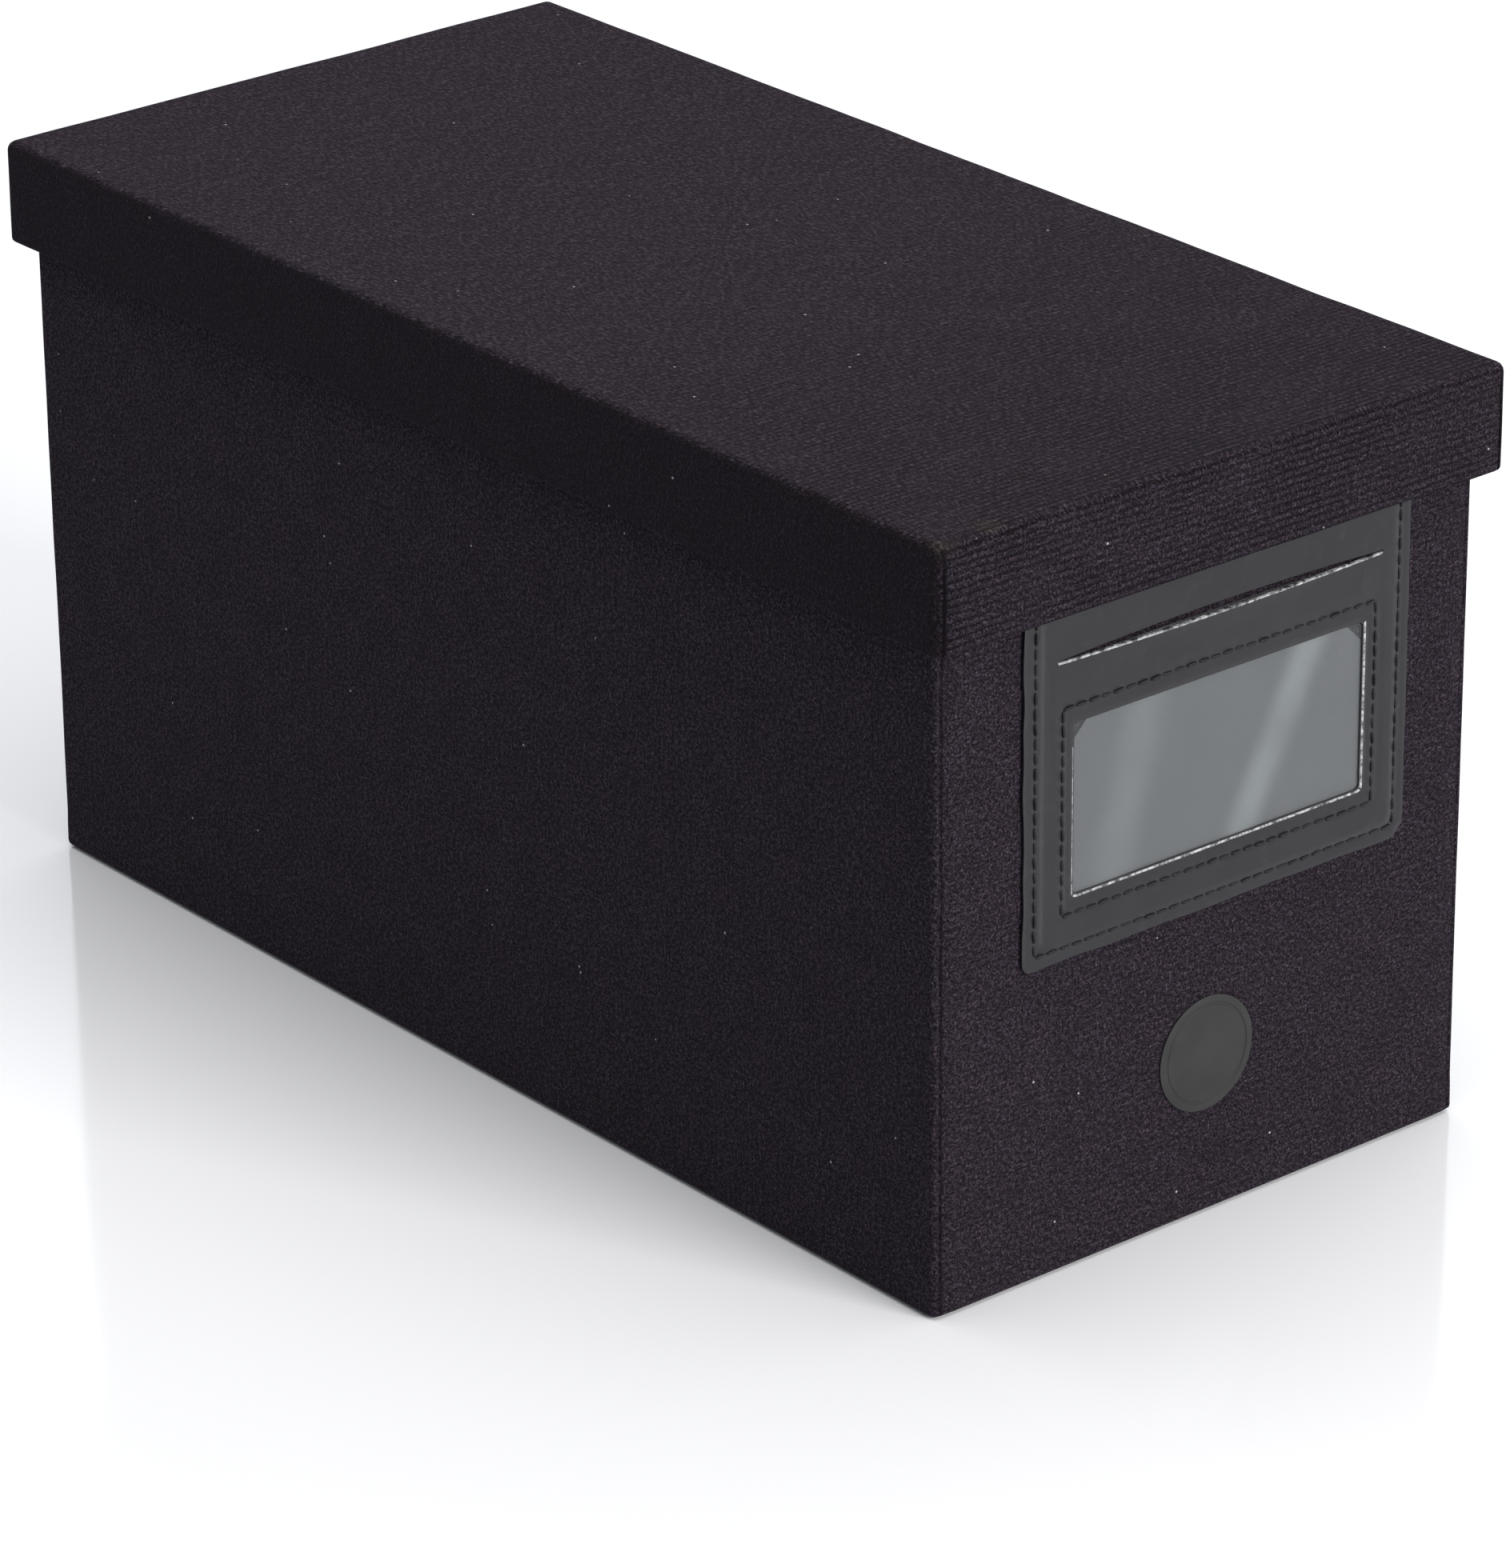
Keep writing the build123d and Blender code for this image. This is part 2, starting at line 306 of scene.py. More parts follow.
def bump(tree, shader, height, distance, strength=1.0):
    """Links a height to a shader's normal."""
    inputs = {"Height": height, "Distance": distance, "Strength": strength}
    node = add_node(tree, "ShaderNodeBump", inputs)
    tree.links.new(node.outputs["Normal"], shader.inputs["Normal"])


# %% [markdown]
# ## Node group: knitted pile
# The covering is a short-pile velour knit. Three things make it up: rows of loops a little
# under 2 mm apart, which read as fine broken lines; a nap of fibre ends, which reads as dense
# grain; and slow, faint mottling where the pile leans different ways. The group works in the
# cloth's own flat coordinates, in metres, so that the rows follow the cloth over an edge.

# %% Build the knitted pile group
def build_knit_pile():
    """Outputs Height, Shade, Cast and Lint for the velour."""
    tree, given, made = new_group(
        "knitted_pile",
        [
            ("Cloth", "Vector", None),
            ("Row Pitch", "Float", 1.8 * MM),
            ("Row Strength", "Float", 0.5),
            ("Lie", "Float", 1.0),
        ],
        ["Height", "Shade", "Cast", "Lint"],
    )
    cloth = given["Cloth"]
    split = add_node(tree, "ShaderNodeSeparateXYZ", {"Vector": cloth})
    across, along = split.outputs["X"], split.outputs["Y"]

    # Rows of loops: a wave along the cloth, bent by noise and broken into dashes.
    rows = calc(tree, "DIVIDE", along, given["Row Pitch"])
    rows = calc(tree, "MULTIPLY_ADD", fine_noise(tree, cloth, 7 * MM), 0.7, rows)
    rows = calc(tree, "MULTIPLY_ADD", fine_noise(tree, cloth, 0.9 * MM, 1), 0.35, rows)
    wave = calc(tree, "SINE", times(tree, rows, 2 * math.pi))
    line = remap(tree, wave, 0.05, -0.80)
    chain = calc(tree, "MULTIPLY_ADD", across, 1 / (1.05 * MM), rows)
    chain = calc(tree, "MULTIPLY_ADD", fine_noise(tree, cloth, 2.5 * MM, 1), 2.0, chain)
    chain = calc(tree, "SINE", times(tree, chain, 2 * math.pi))
    dashes = remap(tree, fine_noise(tree, cloth, 0.7 * MM, 1), 0.66, 0.46)
    dashes = times(tree, dashes, remap(tree, chain, -0.6, 0.2, 0.45, 1.0))
    patchy = remap(tree, fine_noise(tree, cloth, 24 * MM), 0.32, 0.60, 0.35, 1.0)
    gaps = times(tree, line, dashes)
    gaps = times(tree, gaps, times(tree, given["Row Strength"], patchy))

    # The nap: fibre ends and tufts, drawn out along the cloth where Lie is small.
    lying_y = times(tree, along, given["Lie"])
    lying = add_node(tree, "ShaderNodeCombineXYZ", {"X": across, "Y": lying_y}).outputs["Vector"]
    nap = remap(tree, fine_noise(tree, lying, 0.56 * MM, 3, 0.65), 0.36, 0.66)
    tufts = remap(tree, fine_noise(tree, lying, 1.2 * MM, 2, 0.6), 0.32, 0.68)
    lean = remap(tree, fine_noise(tree, cloth, 9 * MM, 3, 0.6), 0.3, 0.7, 0.8, 1.2)
    shade = calc(tree, "MULTIPLY_ADD", nap, 0.66, times(tree, tufts, 0.34))
    shade = calc(tree, "POWER", shade, 2.6)
    shade = times(tree, shade, lean)
    shade = times(tree, shade, calc(tree, "MULTIPLY_ADD", gaps, -0.92, 1.0))
    height = calc(tree, "MULTIPLY_ADD", tufts, 0.7, nap)
    height = calc(tree, "MULTIPLY_ADD", gaps, -0.9, height)

    # Lint: a tiny speck in some of the cells of a coarse pattern.
    cells = add_node(tree, "ShaderNodeTexVoronoi", {"Vector": cloth, "Scale": 1 / (7 * MM)})
    chosen = add_node(tree, "ShaderNodeSeparateColor", {"Color": cells.outputs["Color"]})
    speck = calc(tree, "LESS_THAN", cells.outputs["Distance"], 0.040)
    rare = calc(tree, "GREATER_THAN", chosen.outputs[0], 0.70)

    tree.links.new(height, made["Height"])
    tree.links.new(calc(tree, "MAXIMUM", shade, 0.0), made["Shade"])
    tree.links.new(remap(tree, fine_noise(tree, cloth, 11 * MM), 0.42, 0.62), made["Cast"])
    tree.links.new(times(tree, speck, rare), made["Lint"])
    return tree


KNIT_PILE = build_knit_pile()
print("group", KNIT_PILE.name)

# %% [markdown]
# ## Node group: fine grain
# Leather, rubber, card and board all have a small-scale grain, with pits of one size and a
# slower drift of tone. One group serves them all, with its own sizes in each material.

# %% Build the grain group
def build_grain():
    """Outputs Height, Tone and Marks for a surface with a fine grain."""
    tree, given, made = new_group(
        "fine_grain",
        [("Place", "Vector", None), ("Pebble", "Float", 0.6 * MM), ("Drift", "Float", 15 * MM)],
        ["Height", "Tone", "Marks"],
    )

    def sized(size):
        scale = calc(tree, "DIVIDE", 1.0, size)
        node = add_node(tree, "ShaderNodeTexNoise", {"Vector": given["Place"], "Scale": scale})
        return node.outputs["Fac"]

    pebble_scale = calc(tree, "DIVIDE", 1.0, given["Pebble"])
    pebbles = add_node(
        tree,
        "ShaderNodeTexVoronoi",
        {"Vector": given["Place"], "Scale": pebble_scale},
        feature="SMOOTH_F1",
    )
    height = calc(tree, "MULTIPLY_ADD", pebbles.outputs["Distance"], -0.6, 0.5)
    height = calc(tree, "MULTIPLY_ADD", sized(given["Pebble"]), 0.8, height)
    tone = remap(tree, sized(given["Drift"]), 0.3, 0.7)
    marks = remap(tree, sized(times(tree, given["Drift"], 0.3)), 0.58, 0.75)
    tree.links.new(height, made["Height"])
    tree.links.new(tone, made["Tone"])
    tree.links.new(marks, made["Marks"])
    return tree


GRAIN = build_grain()


def add_grain(tree, pebble, drift):
    """Adds the grain to a material, with its sizes in millimetres."""
    sizes = {"Pebble": pebble * MM, "Drift": drift * MM}
    return place_group(tree, GRAIN, {"Place": own_place(tree), **sizes})


print("group", GRAIN.name)

# %% [markdown]
# ## The velour
# Velour is dark because its fibres trap light, and it glows faintly at grazing angles, where
# light catches the fibre ends. A rough shader with almost no shine and a little sheen does
# both. The pile group drives the tone and the bump. Where the cloth is folded over at a corner,
# a dark line of painted shade is drawn. On the lid, painted shade also darkens the top a little
# and the long sides much more. Two rubbed patches on the lid and specks of pale lint come last.

# %% Materials: velour for the lid, the base and the front panel
LID_HALF = ((HIGH.x - LOW.x) / 2, (HIGH.y - LOW.y) / 2)
FOLD_INSET = 2.1 * MM
PANEL_FOLD = 76.6 * MM
NO_FOLD = 1.0
DYE = 0.86
BETWEEN_FIBRES = (0.004, 0.003, 0.004)
LINT = (0.42, 0.40, 0.38)
WORN = (0.072, 0.064, 0.044)


def dyed(*colour):
    """A colour of the cloth, at the strength of its dye."""
    return [value * DYE for value in colour]


def add_wear(tree, cloth, shade, colour):
    """Two faint rubbed patches by the lid's front left corner."""
    for x, y, reach in ((-80.5, -168.0, 5.0), (-66.0, -166.0, 4.0)):
        ends = {0: cloth, 1: (x * MM, y * MM, 0)}
        away = add_node(tree, "ShaderNodeVectorMath", ends, operation="DISTANCE")
        worn = remap(tree, away.outputs["Value"], reach * MM, 1 * MM)
        worn = times(tree, worn, remap(tree, shade, 0.05, 0.5, 0.1, 0.8))
        colour = mix_colour(tree, worn, colour, WORN)
    return colour


def make_velour(name, rows, front_rows, fold, on_lid=False):
    """Near-black velour. Its rows go from one strength at the middle to another at the front,
    and a dark line of painted shade marks the fold, so far from the middle of the cloth. On the
    lid, painted shade also darkens the top and the long sides."""
    material, tree, shader = new_material(
        name,
        Roughness=0.95,
        Specular_IOR_Level=0.05,
        Sheen_Weight=0.03,
        Sheen_Roughness=0.5,
        Sheen_Tint=(0.95, 0.80, 1.0, 1),
    )
    cloth = add_node(tree, "ShaderNodeUVMap", uv_map="cloth").outputs["UV"]
    split = add_node(tree, "ShaderNodeSeparateXYZ", {"Vector": cloth})
    along = split.outputs["Y"]
    wide = calc(tree, "ABSOLUTE", split.outputs["X"])
    strength = remap(tree, along, -0.02, -0.165, rows, front_rows)
    # Painted shade: a dark line along the fold, where the cloth is folded over.
    painted_shade = calc(tree, "ABSOLUTE", calc(tree, "SUBTRACT", wide, fold))
    painted_shade = remap(tree, painted_shade, 0.25 * MM, 0.75 * MM, 0.05, 1.0)
    given = {"Cloth": cloth}
    if on_lid:
        # The pile lies differently on the top, on the front and back, and on the long sides, and
        # painted shade darkens the top and the long sides.
        beside = calc(tree, "GREATER_THAN", wide, LID_HALF[0])
        hanging = calc(tree, "GREATER_THAN", calc(tree, "ABSOLUTE", along), LID_HALF[1])
        off_top = calc(tree, "MAXIMUM", beside, hanging)
        given["Lie"] = calc(tree, "MULTIPLY_ADD", off_top, 0.55, 0.45)
        strength = times(tree, strength, remap(tree, beside, 0, 1, 1.0, 0.15))
        painted_shade = calc(tree, "MAXIMUM", painted_shade, calc(tree, "SUBTRACT", 1.0, hanging))
        # Painted shade: the lid's top is darkened a little and its long sides much more, for the
        # way they face the light.
        painted_facing_shade = calc(tree, "MULTIPLY_ADD", off_top, 0.20, 0.80)
        painted_facing_shade = calc(tree, "MULTIPLY_ADD", beside, -0.60, painted_facing_shade)
        painted_shade = times(tree, painted_shade, painted_facing_shade)
    pile = place_group(tree, KNIT_PILE, {**given, "Row Strength": strength})
    shade = times(tree, pile["Shade"], painted_shade)
    dark = dyed(*BETWEEN_FIBRES)
    cool = mix_colour(tree, shade, dark, dyed(0.110, 0.086, 0.118))
    warm = mix_colour(tree, shade, dark, dyed(0.118, 0.085, 0.114))
    colour = mix_colour(tree, pile["Cast"], cool, warm)
    if on_lid:
        colour = add_wear(tree, cloth, shade, colour)
    colour = mix_colour(tree, pile["Lint"], colour, LINT)
    tree.links.new(colour, shader.inputs["Base Color"])
    bump(tree, shader, pile["Height"], 0.22 * MM, 0.9)
    return material


LID_VELOUR = make_velour("velour_lid", 0.35, 2.2, LID_HALF[0] - FOLD_INSET, True)
BASE_VELOUR = make_velour("velour_base", 0.25, 0.25, NO_FOLD)
PANEL_VELOUR = make_velour("velour_front_panel", 0.45, 0.45, PANEL_FOLD)
print("materials", LID_VELOUR.name, BASE_VELOUR.name, PANEL_VELOUR.name)

# %% [markdown]
# ## The imitation leather, its raw edge, and the thread
# The label pocket is charcoal imitation leather: a smooth coat with a fine grain and a satin
# shine. Where it is cut, at the window and the slot, the pale backing shows as a thin light
# line. It is drawn only on the edges that face the light, so it is partly a painted highlight.
# The thread is black and slightly shiny, with its twist as a bump along the stitch.

# %% Materials: leather, raw edge and thread
def make_leather():
    """Charcoal imitation leather with a satin coat."""
    material, tree, shader = new_material(
        "imitation_leather", Roughness=0.46, Specular_IOR_Level=0.30
    )
    grain = add_grain(tree, 0.45, 12)
    colour = mix_colour(tree, grain["Tone"], (0.0085, 0.0080, 0.0105), (0.0115, 0.0109, 0.0138))
    colour = mix_colour(tree, grain["Marks"], colour, (0.0145, 0.0145, 0.0165))
    tree.links.new(colour, shader.inputs["Base Color"])
    tree.links.new(remap(tree, grain["Tone"], 0, 1, 0.36, 0.46), shader.inputs["Roughness"])
    bump(tree, shader, grain["Height"], 0.03 * MM, 0.5)
    return material


def make_raw_edge_highlight():
    """The pale cut edge of the imitation leather, glossy in places where the cut has melted it;
    partly a painted highlight, with pale patches that stand in for glints.
    """
    material, tree, shader = new_material("leather_raw_edge_highlight", Roughness=0.35)
    place_on = own_place(tree)
    grain = add_grain(tree, 0.5, 2.2)
    # Painted highlight: pale patches along the edge stand in for glints of light.
    broken = remap(tree, fine_noise(tree, place_on, 1.6 * MM, 3, 0.7), 0.40, 0.62)
    colour = mix_colour(tree, broken, (0.03, 0.03, 0.034), (0.46, 0.46, 0.46))
    tree.links.new(colour, shader.inputs["Base Color"])
    bump(tree, shader, grain["Height"], 0.08 * MM)
    return material


def make_thread():
    """Black twisted thread."""
    material, tree, shader = new_material(
        "sewing_thread", Roughness=0.55, Specular_IOR_Level=0.25
    )
    place_on = own_place(tree)
    twist = add_node(
        tree,
        "ShaderNodeTexWave",
        {"Vector": place_on, "Scale": 900.0, "Distortion": 1.0},
        bands_direction="DIAGONAL",
    )
    colour = mix_colour(tree, twist.outputs["Fac"], (0.002, 0.002, 0.0025), (0.009, 0.009, 0.010))
    tree.links.new(colour, shader.inputs["Base Color"])
    bump(tree, shader, twist.outputs["Fac"], 0.08 * MM, 0.8)
    return material


LEATHER = make_leather()
RAW_EDGE_HIGHLIGHT = make_raw_edge_highlight()
THREAD = make_thread()
print("materials", LEATHER.name, RAW_EDGE_HIGHLIGHT.name, THREAD.name)

# %% [markdown]
# ## Film, card, rubber, board, paper and tape
# The window film is clear and glossy, a little scuffed, with two soft bands of painted
# reflection on it. The card behind it is plain grey. The rest is seen only with the lid off:
# black lining paper, a black card on the floor, brown gummed tape and grey board.

# %% Materials: film, card, rubber, board, paper and tape
def reflection_band(tree, place_on, lean, middle, half_width):
    """A soft band of painted reflection across the film: 1 along a leaning line, and 0 beyond half
    its width.
    """
    split = add_node(tree, "ShaderNodeSeparateXYZ", {"Vector": place_on})
    across = calc(tree, "MULTIPLY_ADD", split.outputs["Z"], -lean, split.outputs["X"])
    away = calc(tree, "ABSOLUTE", calc(tree, "SUBTRACT", across, middle))
    inputs = {"Value": away, "From Min": half_width, "From Max": 0.0}
    node = add_node(tree, "ShaderNodeMapRange", inputs, interpolation_type="SMOOTHERSTEP")
    return node.outputs["Result"]


def make_film():
    """Clear glossy film with two soft milky bands of painted reflection, where the lights would be
    mirrored.
    """
    material, tree, shader = new_material(
        "clear_film", Roughness=0.09, IOR=1.45, Base_Color=(0.78, 0.86, 0.86, 1)
    )
    place_on = own_place(tree)
    scuffs = fine_noise(tree, place_on, 14 * MM, 4)
    # Painted reflection: two leaning milky bands, as of the lights mirrored in the film.
    broad = reflection_band(tree, place_on, 0.51, -37.6 * MM, 9.0 * MM)
    faint = reflection_band(tree, place_on, 0.25, -52.0 * MM, 11 * MM)
    painted_reflection = calc(tree, "MULTIPLY_ADD", faint, 0.45, broad)
    painted_reflection = times(tree, painted_reflection, remap(tree, scuffs, 0.3, 0.6, 0.5, 1.0))
    tree.links.new(remap(tree, painted_reflection, 0, 1, 0.03, 0.085), shader.inputs["Alpha"])
    tree.links.new(remap(tree, scuffs, 0.35, 0.7, 0.08, 0.18), shader.inputs["Roughness"])
    return material


def make_card():
    """Plain blue-grey card, faintly mottled."""
    material, tree, shader = new_material("grey_card", Roughness=0.75)
    place_on = own_place(tree)
    grain = add_grain(tree, 0.5, 18)
    fibre = remap(tree, fine_noise(tree, place_on, 0.45 * MM), 0.3, 0.7)
    tone = calc(tree, "MULTIPLY_ADD", grain["Tone"], 0.7, times(tree, fibre, 0.3))
    colour = mix_colour(tree, tone, (0.0475, 0.0478, 0.0515), (0.0560, 0.0565, 0.0610))
    tree.links.new(colour, shader.inputs["Base Color"])
    bump(tree, shader, grain["Height"], 0.004 * MM, 0.2)
    return material


def make_plain(name, dark, light, pebble, drift, depth, roughness):
    """A matt material between two tones, with a grain sized in millimetres."""
    material, tree, shader = new_material(name, Roughness=roughness, Specular_IOR_Level=0.25)
    grain = add_grain(tree, pebble, drift)
    colour = mix_colour(tree, grain["Tone"], dark, light)
    tree.links.new(colour, shader.inputs["Base Color"])
    bump(tree, shader, grain["Height"], depth * MM, 0.7)
    return material


FILM = make_film()
CARD = make_card()
# For each: dark tone, light tone, pebble, drift and bump depth in millimetres, and roughness.
PLAIN = {
    "patch_rubber": ((0.0175, 0.0170, 0.0172), (0.0240, 0.0233, 0.0236), 0.4, 9, 0.03, 0.55),
    "greyboard": ((0.30, 0.28, 0.25), (0.46, 0.44, 0.40), 0.7, 12, 0.05, 0.9),
    "lining_paper": ((0.019, 0.019, 0.021), (0.024, 0.024, 0.026), 0.8, 25, 0.05, 0.8),
    "floor_card": ((0.023, 0.023, 0.025), (0.029, 0.029, 0.031), 0.5, 30, 0.04, 0.7),
    "bottom_paper": ((0.020, 0.020, 0.022), (0.026, 0.026, 0.029), 0.9, 20, 0.08, 0.75),
    "corner_tape": ((0.28, 0.20, 0.12), (0.40, 0.31, 0.20), 0.5, 10, 0.03, 0.6),
}
RUBBER, BOARD, LINING, FLOOR_CARD, BOTTOM, TAPE = (
    make_plain(name, *settings) for name, settings in PLAIN.items()
)
print("materials", len(bpy.data.materials))

# %% [markdown]
# ## Laying the cloth
# Cloth goes over an edge without a break in its pattern. `lay_cloth` writes flat coordinates,
# in metres, onto each face: the top lies as it is, and each side is folded out from the edge
# that it hangs from. Rows of knit run across the box, so they cross the front rim level and
# run down the long sides upright. Round the base the cloth is one strip, so there its rows
# stay upright on every side, and only the front panel has them level.

# %% Helper: flat cloth coordinates
def lay_cloth(piece, low, high, style):
    """Writes the UV map "cloth". style is lid, wrap or panel."""
    mesh = piece.data
    uv = mesh.uv_layers.new(name="cloth")
    for face in mesh.polygons:
        n = face.normal
        main = max(range(3), key=lambda k: abs(n[k]))
        for corner in face.loop_indices:
            x, y, z = mesh.vertices[mesh.loops[corner].vertex_index].co
            drop = high.z - z
            if main == 2:
                flat = (x, y)
            elif main == 1 and style == "wrap":
                flat = (drop, (high.y + high.x + x) if y > 0 else (low.y - high.x - x))
            elif main == 1:
                flat = (x, high.y + drop if y > 0 else low.y - drop)
            else:
                flat = (x + drop if x > 0 else x - drop, y)
            uv.data[corner].uv = flat
    return uv


def settle(piece, size, depth, flat_below):
    """Lets a covered board be slightly uneven: each point sinks by up to depth."""
    mesh = piece.data
    moved = []
    for vertex in mesh.vertices:
        shift = noise.noise(vertex.co / size) * 0.5 + 0.5
        shift += 0.3 * noise.noise(vertex.co / (0.3 * size))
        fade = min(1.0, max(0.0, (vertex.co.z - flat_below) / (6 * MM)))
        moved.append(vertex.co - vertex.normal * depth * shift * fade)
    for vertex, place_to in zip(mesh.vertices, moved):
        vertex.co = place_to


# %% [markdown]
# ## The lid's cloth
# One piece of velour covers the lid, is folded under the rim and glued up its inside. A block
# the size of the lid is opened from below: its underside is inset by the thickness of the
# wall and pushed up to make the turned-in strip. The edges are bevelled to the soft rounding
# that cloth gives a board, and the long faces are cut finer so that they can be a little
# uneven. The cloth is folded over beside each corner of the front and back, and a line is
# pressed in there. The sheet is then given the cloth's thickness.

# %% Helpers: a rounded block of cloth, open at one end
CLOTH = 0.8 * MM
CREASE_REACH = 0.45 * MM


def round_edges(shell, test, radius, segments):
    """Bevels the edges that pass a test."""
    pick(shell, "EDGE", test)
    bpy.ops.mesh.bevel(offset=radius, segments=segments, affect="EDGES", clamp_overlap=True)
    bpy.ops.object.mode_set(mode="OBJECT")


def rounded_block(name, low, high, corner, top, bottom):
    """A block with rounded upright corners, top edge and bottom edge."""
    block = add_block(name, low, high)
    round_edges(block, lambda a, b: not near(a.z, b.z), corner, 5)
    round_edges(block, lambda a, b: near(a.z, high.z) and near(b.z, high.z), top, 4)
    round_edges(block, lambda a, b: near(a.z, low.z) and near(b.z, low.z), bottom, 3)
    return block


def open_end(shell, way, wall, turn_in=0.0, hem=0.0):
    """Opens the top (way 1) or bottom (way -1), and turns the cloth in past a wall."""
    corners = [vertex.co.copy() for vertex in shell.data.vertices]
    end = max(corner.z * way for corner in corners) * way
    level = [corner for corner in corners if near(corner.z, end)]
    wide, deep = max(corner.x for corner in level), max(corner.y for corner in level)
    inner_wide = max(corner.x for corner in corners) - wall
    inner_deep = max(corner.y for corner in corners) - wall
    tiny = 0.01 * MM
    pick(shell, "FACE", lambda middle, normal: near(middle.z, end) and normal.z * way > 0.9)
    bpy.ops.mesh.inset(thickness=tiny, depth=0)
    scale = (inner_wide / (wide - tiny), inner_deep / (deep - tiny), 1)
    bpy.ops.transform.resize(value=scale, center_override=(0, 0, end))
    if turn_in:
        bpy.ops.mesh.extrude_region_move(TRANSFORM_OT_translate={"value": (0, 0, -way * turn_in)})
    bpy.ops.mesh.delete(type="FACE")
    bpy.ops.object.mode_set(mode="OBJECT")
    if hem:

        def on_mouth(point):
            beyond = max(abs(point.x) - inner_wide, abs(point.y) - inner_deep)
            return near(point.z, end) and beyond < tiny

        round_edges(shell, lambda a, b: on_mouth(a) and on_mouth(b), hem, 3)


# %% Model the lid's cloth
lid_low, lid_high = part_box("lid_cover")
rim_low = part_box("lid_rim_lining")[0]
side_board_low, side_board_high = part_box("lid_left_rim_board")
LID_WALL = CLOTH * 2 + side_board_high.x - side_board_low.x
LID_TURN_IN = rim_low.z - lid_low.z
CORNER_FOLD = lid_high.x - FOLD_INSET


def cut_plane(piece, place_at, normal):
    """Cuts a piece's faces along a plane, and keeps both sides."""
    pick(piece, "FACE", lambda middle, face_normal: True)
    bpy.ops.mesh.bisect(plane_co=place_at, plane_no=normal)
    bpy.ops.object.mode_set(mode="OBJECT")


def press_corner_folds(lid):
    """Presses the line where the cloth is folded over at each corner of the front and back."""
    for side in (-1, 1):
        for step in (-CREASE_REACH, 0, CREASE_REACH):
            cut_plane(lid, (side * (CORNER_FOLD + step), 0, 0), (1, 0, 0))
    for vertex in lid.data.vertices:
        upright = abs(vertex.co.y) > lid_high.y - 0.8 * MM and vertex.co.z < lid_high.z - 2.9 * MM
        if upright and near(abs(vertex.co.x), CORNER_FOLD, 0.1 * MM):
            vertex.co.y -= math.copysign(CREASE_REACH, vertex.co.y)


lid_velour = rounded_block("lid_velour", lid_low, lid_high, 2.6 * MM, 2.4 * MM, 1.0 * MM)
open_end(lid_velour, -1, LID_WALL, LID_TURN_IN, 0.7 * MM)
for axis in range(3):
    cut_along(lid_velour, axis, 4 * MM)
press_corner_folds(lid_velour)
settle(lid_velour, 45 * MM, 0.35 * MM, -1)
lay_cloth(lid_velour, lid_low, lid_high, "lid")
thicken(lid_velour, CLOTH)
smooth(lid_velour, 50)
finish_piece(lid_velour, LID_VELOUR, "lid", "lid_cover")

# %% [markdown]
# ## The base's cloth
# The base is covered by two pieces. One strip goes round the left side, the back and the
# right side, and turns each front corner by a couple of millimetres. A separate panel covers
# the front, and its edges are tucked in, which leaves a fine seam beside each corner. Both
# are modelled as one shell, so that they match, and then cut apart at the seams.

# %% Model the base's cloth
wrap_low, wrap_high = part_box("base_wrap_cover")
panel_low, panel_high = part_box("base_front_cover")
inner_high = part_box("base_floor_board")[1]
BASE_LOW = Vector((wrap_low.x, panel_low.y, wrap_low.z))
BASE_HIGH = Vector((wrap_high.x, wrap_high.y, wrap_high.z))
BASE_WALL = wrap_high.x - inner_high.x + CLOTH
SEAM_X = panel_high.x
SEAM_GAP = 0.04 * MM
TURN_UNDER = panel_high.y - panel_low.y
BASE_TURN_IN = 18.8 * MM
MOUTH_FRONT = BASE_LOW.y + BASE_WALL
SLACK = 0.2 * MM
TUCK_DEPTH, TUCK_REACH = 0.6 * MM, 1.0 * MM


def model_base_shell():
    """The whole cloth of the base, in one piece."""
    shell = rounded_block("base_velour", BASE_LOW, BASE_HIGH, 2.0 * MM, 1.0 * MM, 1.3 * MM)
    open_end(shell, 1, BASE_WALL, BASE_TURN_IN, 0.7 * MM)
    open_end(shell, -1, TURN_UNDER)
    return shell


def in_front_panel(middle):
    """True for the parts of the shell that belong to the front panel."""
    within = abs(middle.x) < SEAM_X
    upright = middle.y < MOUTH_FRONT + SLACK
    underneath = middle.z < BASE_LOW.z + SLACK and middle.y < BASE_LOW.y + TURN_UNDER
    return within and (upright or underneath)


def split_front_panel(shell):
    """Cuts the seams and parts the front panel from the wrap."""
    for side in (-1, 1):
        for reach in (-CREASE_REACH, 0, SEAM_GAP, CREASE_REACH):
            cut_plane(shell, (side * (SEAM_X + reach), 0, 0), (1, 0, 0))

    def in_seam(middle, normal):
        between = SEAM_X < abs(middle.x) < SEAM_X + SEAM_GAP
        return between and middle.y < MOUTH_FRONT + SLACK

    pick(shell, "FACE", in_seam)
    bpy.ops.mesh.delete(type="FACE")
    pick(shell, "FACE", lambda middle, normal: in_front_panel(middle))
    bpy.ops.mesh.separate(type="SELECTED")
    bpy.ops.object.mode_set(mode="OBJECT")
    panel = next(o for o in bpy.context.selected_objects if o != shell)
    panel.name = "front_panel_velour"
    shell.name = "base_wrap_velour"
    return panel


def tuck_seams(piece):
    """Rolls the cloth's edges into the seams."""
    for vertex in piece.data.vertices:
        away = abs(abs(vertex.co.x) - SEAM_X - SEAM_GAP / 2)
        low_enough = vertex.co.z < BASE_HIGH.z - 1.5 * MM
        if away < TUCK_REACH and vertex.co.y < BASE_LOW.y + 1.2 * MM and low_enough:
            vertex.co.y += TUCK_DEPTH * (1 - away / TUCK_REACH) ** 2


